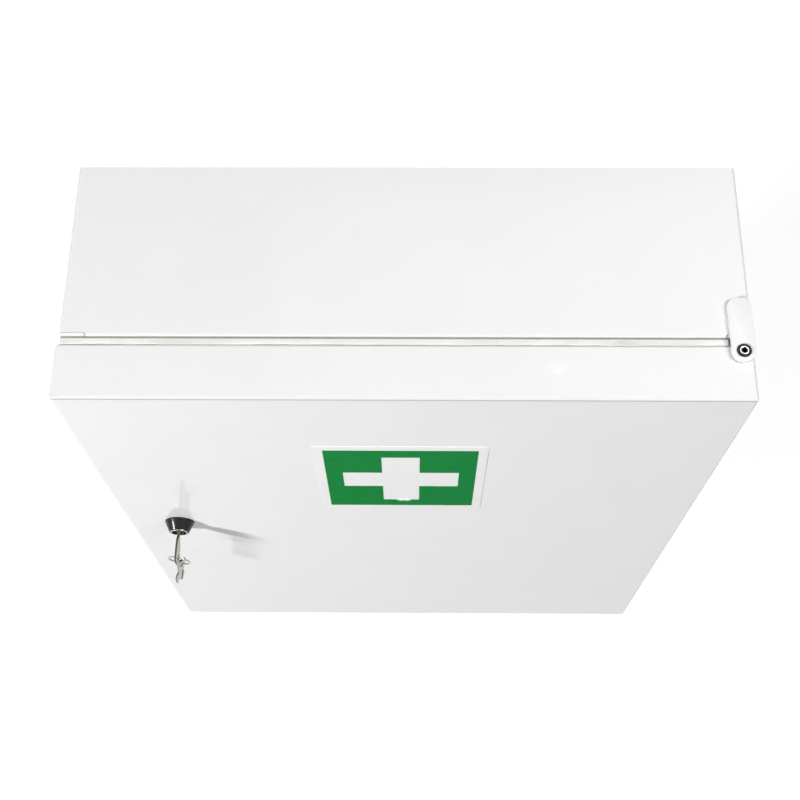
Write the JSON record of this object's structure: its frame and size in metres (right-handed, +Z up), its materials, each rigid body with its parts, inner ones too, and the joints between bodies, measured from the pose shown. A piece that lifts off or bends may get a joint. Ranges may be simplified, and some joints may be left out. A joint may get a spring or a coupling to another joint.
{
  "type": "first aid cabinet",
  "caption": "Wall-mounted steel first aid cabinet with a hinged pan door, strap hinges, a cam lock with keys, inner shelves and a white cross on green sign.",
  "frame": {"origin": "centre of the four wall holes, on the back plane that lies against the wall", "axes": "+X to the right seen from the front, +Y into the wall, +Z up; the door faces -Y"},
  "size_m": [0.3665, 0.1716, 0.4308],
  "materials": {
    "white_powder_coat": "gloss powder coat",
    "cream_foam": "closed-cell foam",
    "black_nylon": "satin",
    "bright_nickel": "polished nickel plate",
    "black_gloss": "polished black",
    "zinc_plate": "zinc plated",
    "key_nickel": "stamped, nickel plated",
    "sign_white": "printed vinyl, satin gloss",
    "sign_green": "printed vinyl, satin gloss"
  },
  "bodies": {
    "casing": {"casing_wrap": "white_powder_coat", "back_panel": "white_powder_coat", "upper_shelf": "white_powder_coat", "lower_shelf": "white_powder_coat", "bracket_upper_left": "white_powder_coat", "bracket_upper_right": "white_powder_coat", "bracket_lower_left": "white_powder_coat", "bracket_lower_right": "white_powder_coat", "seal_top": "cream_foam", "seal_bottom": "cream_foam", "seal_lock_side": "cream_foam", "seal_hinge_side": "cream_foam", "hinge_strap_top": "white_powder_coat", "hinge_strap_bottom": "white_powder_coat", "hinge_bush_top": "black_nylon", "hinge_bush_bottom": "black_nylon"},
    "door": {"door_shell": "white_powder_coat", "hinge_rivet_top": "bright_nickel", "hinge_rivet_bottom": "bright_nickel", "hinge_washer_top": "black_nylon", "hinge_washer_bottom": "black_nylon", "lock_rosette": "black_gloss", "lock_housing": "bright_nickel", "lock_nut": "zinc_plate", "sign_plate": "sign_white", "sign_field": "sign_green"},
    "lock_cylinder": {"lock_plug": "bright_nickel", "lock_cam": "zinc_plate", "cam_screw": "zinc_plate"},
    "key_in_lock": {"key": "key_nickel"},
    "ring": {"key_ring": "bright_nickel"},
    "hanging_key": {"spare_key": "key_nickel"}
  },
  "joints": [
    {"name": "door_hinge", "type": "hinge", "parent": "casing", "child": "door", "pos_m": [0.17625, -0.1147, 0], "axis": [0, 0, 1], "range_deg": [0, 105]},
    {"name": "lock_turn", "type": "hinge", "parent": "door", "child": "lock_cylinder", "pos_m": [-0.1502, -0.1422, 0.0202], "axis": [0, 1, 0], "range_deg": [0, 90]},
    {"name": "key_slide", "type": "slide", "parent": "lock_cylinder", "child": "key_in_lock", "axis": [0, -1, 0], "range_m": [0, 0.02]},
    {"name": "ring_swing", "type": "hinge", "parent": "key_in_lock", "child": "ring", "pos_m": [-0.1502, -0.1668, 0.0202], "axis": [1, 0, 0], "range_deg": [-45, 20]},
    {"name": "spare_swing", "type": "hinge", "parent": "ring", "child": "hanging_key", "pos_m": [-0.1502, -0.1668, 0.00545], "axis": [0.9816, -0.1908, 0], "range_deg": [-60, 8]}
  ]
}
